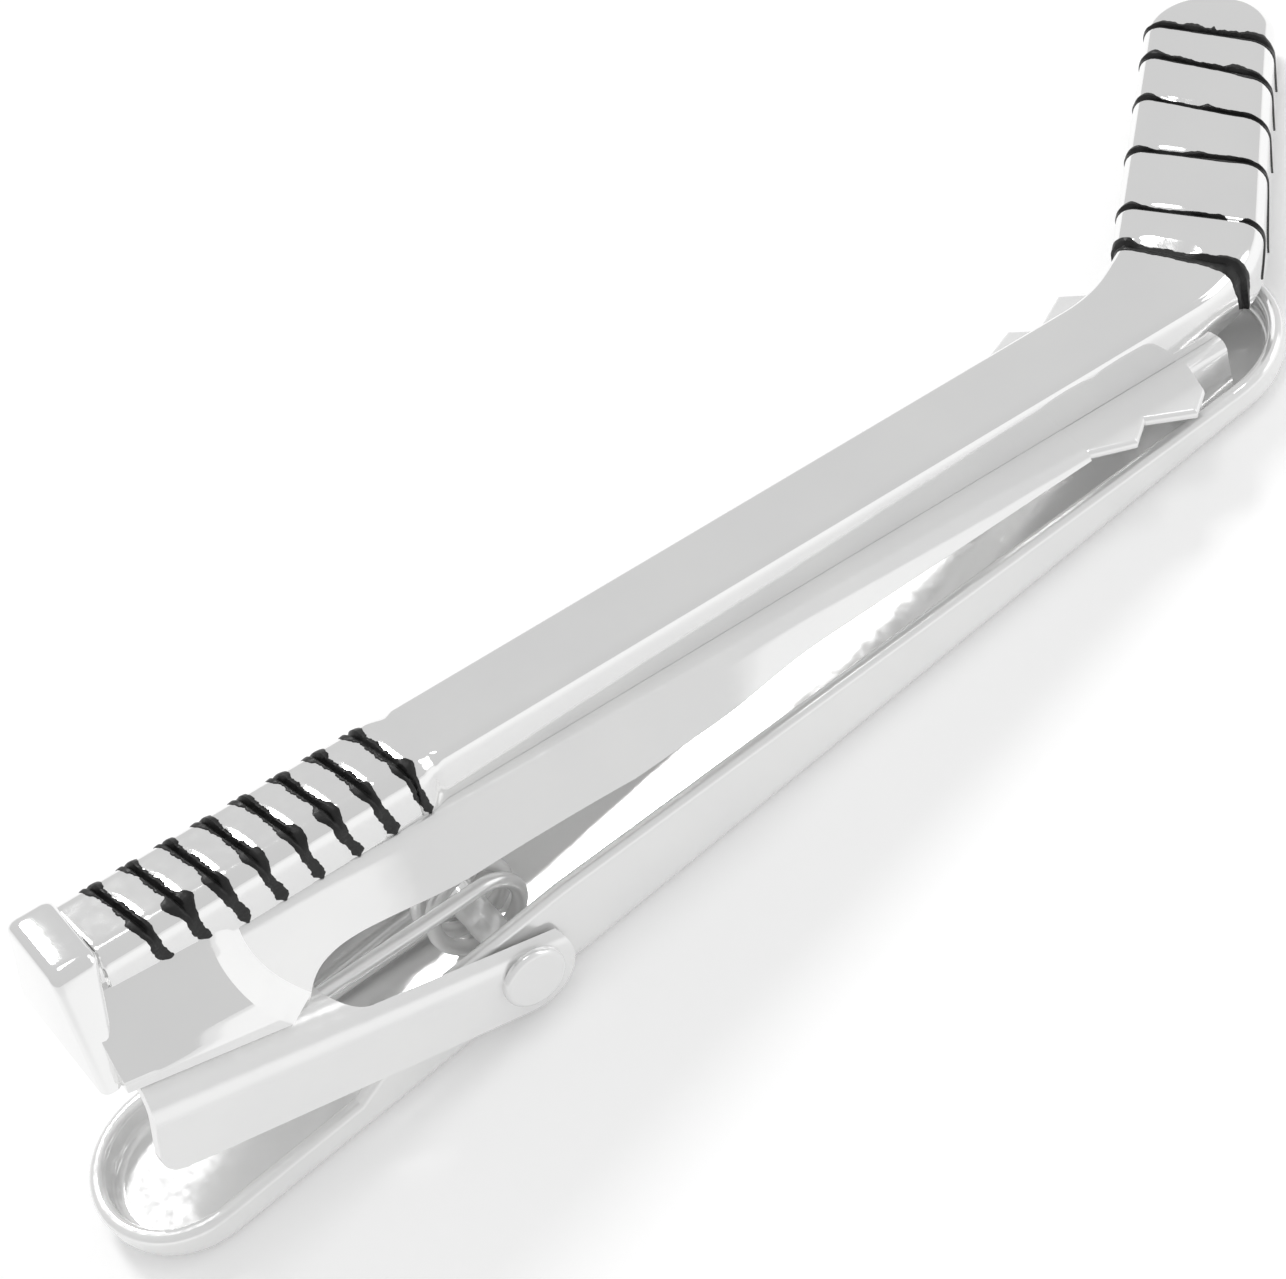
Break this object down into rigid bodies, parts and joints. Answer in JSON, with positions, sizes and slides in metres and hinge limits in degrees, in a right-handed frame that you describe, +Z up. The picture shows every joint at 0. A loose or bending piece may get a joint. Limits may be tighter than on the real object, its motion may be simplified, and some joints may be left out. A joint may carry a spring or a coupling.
{
  "type": "tie clip",
  "caption": "Spring-hinged tie clip shaped like an ice hockey stick, with a plated bar, dark enamel tape lines, a toothed upper jaw and a tray-shaped lower arm.",
  "frame": {"origin": "middle of the lower arm's flat underside, on the surface the clip lies on", "axes": "+X along the clip towards the blade end, +Z up, +Y to the side the blade turns to"},
  "size_m": [0.0624, 0.0169, 0.0151],
  "materials": {
    "silver_plate": "polished",
    "spring_steel": "drawn",
    "black_enamel": "glossy"
  },
  "bodies": {
    "lower_arm": {"lower_arm": "silver_plate"},
    "stick": {"stick_casting": "silver_plate", "upper_jaw": "silver_plate", "hinge_bracket": "silver_plate", "hinge_rivet": "silver_plate", "torsion_spring": "spring_steel", "grip_enamel_1": "black_enamel", "grip_enamel_2": "black_enamel", "grip_enamel_3": "black_enamel", "grip_enamel_4": "black_enamel", "grip_enamel_5": "black_enamel", "grip_enamel_6": "black_enamel", "grip_enamel_7": "black_enamel", "grip_enamel_8": "black_enamel", "blade_enamel_1": "black_enamel", "blade_enamel_2": "black_enamel", "blade_enamel_3": "black_enamel", "blade_enamel_4": "black_enamel", "blade_enamel_5": "black_enamel", "blade_enamel_6": "black_enamel"}
  },
  "joints": [
    {"name": "jaw_hinge", "type": "hinge", "parent": "lower_arm", "child": "stick", "pos_m": [-0.01, 0, 0.00205], "axis": [0, -1, 0], "range_deg": [0, 18], "stiffness_Nm_per_rad": 0.08, "springref_deg": -28.65, "deforming": ["torsion_spring"]}
  ]
}
